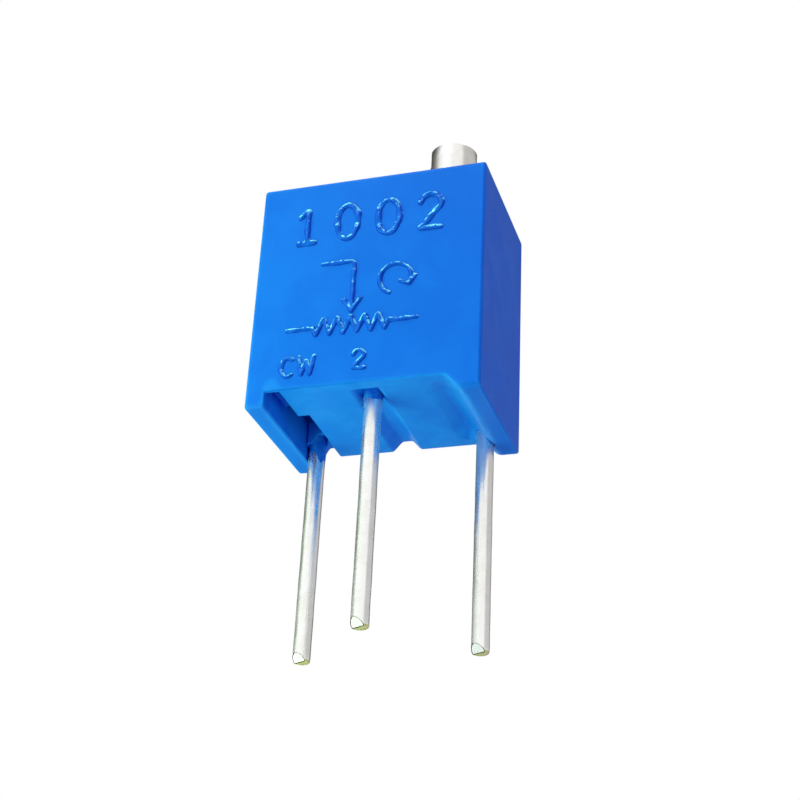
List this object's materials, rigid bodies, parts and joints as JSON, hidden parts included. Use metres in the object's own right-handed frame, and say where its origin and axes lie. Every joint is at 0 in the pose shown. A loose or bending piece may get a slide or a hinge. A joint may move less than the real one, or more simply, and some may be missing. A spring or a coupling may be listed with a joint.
{
  "type": "trimmer potentiometer",
  "caption": "Square multi-turn trimmer potentiometer: a slotted top screw turns a worm wheel and wiper over a ceramic element, on three staggered wire terminals.",
  "frame": {"origin": "axis of terminal 2, the middle one, in the plane of the circuit board that the feet rest on", "axes": "+Z out of the board along the screw's axis, +X to the right along the front face, -Y out of the front face"},
  "size_m": [0.0068, 0.0045, 0.0146],
  "materials": {
    "housing_plastic": "moulded, satin gloss",
    "base_plastic": "moulded, satin",
    "sealing_resin": "cured resin, glossy",
    "tinned_wire": "dipped tin, slightly dull",
    "ceramic": "fired, matte",
    "resistive_ink": "fired glaze",
    "silver_ink": "fired metal ink",
    "solder": "cast solder",
    "rotor_plastic": "moulded, matte",
    "spring_bronze": "rolled spring strip",
    "plated_brass": "turned and nickel plated",
    "seal_rubber": "matte"
  },
  "bodies": {
    "case": {"housing": "housing_plastic", "base_insert": "base_plastic", "root_beads": "sealing_resin", "terminal_pin_1": "tinned_wire", "terminal_pin_2": "tinned_wire", "terminal_pin_3": "tinned_wire", "ceramic_substrate": "ceramic", "resistive_track": "resistive_ink", "collector_track": "silver_ink", "end_layer_1": "silver_ink", "end_layer_3": "silver_ink", "solder_joint_1": "solder", "solder_joint_2": "solder", "solder_joint_3": "solder"},
    "screw": {"adjustment_screw": "plated_brass", "screw_seal": "seal_rubber"},
    "rotor": {"worm_wheel_rotor": "rotor_plastic", "wiper_contact": "spring_bronze"}
  },
  "joints": [
    {"name": "screw_turn", "type": "hinge", "parent": "case", "child": "screw", "pos_m": [0.00199, 0.00025, 0], "axis": [0, 0, 1], "range_deg": [-2250, 2250]},
    {"name": "rotor_turn", "type": "hinge", "parent": "case", "child": "rotor", "pos_m": [-0.00023, 0, 0.00385], "axis": [0, 1, 0], "range_deg": [-150.1, 150.1]}
  ],
  "couplings": [
    {"joint": "rotor_turn", "follows": "screw_turn", "ratio": 0.066667}
  ]
}
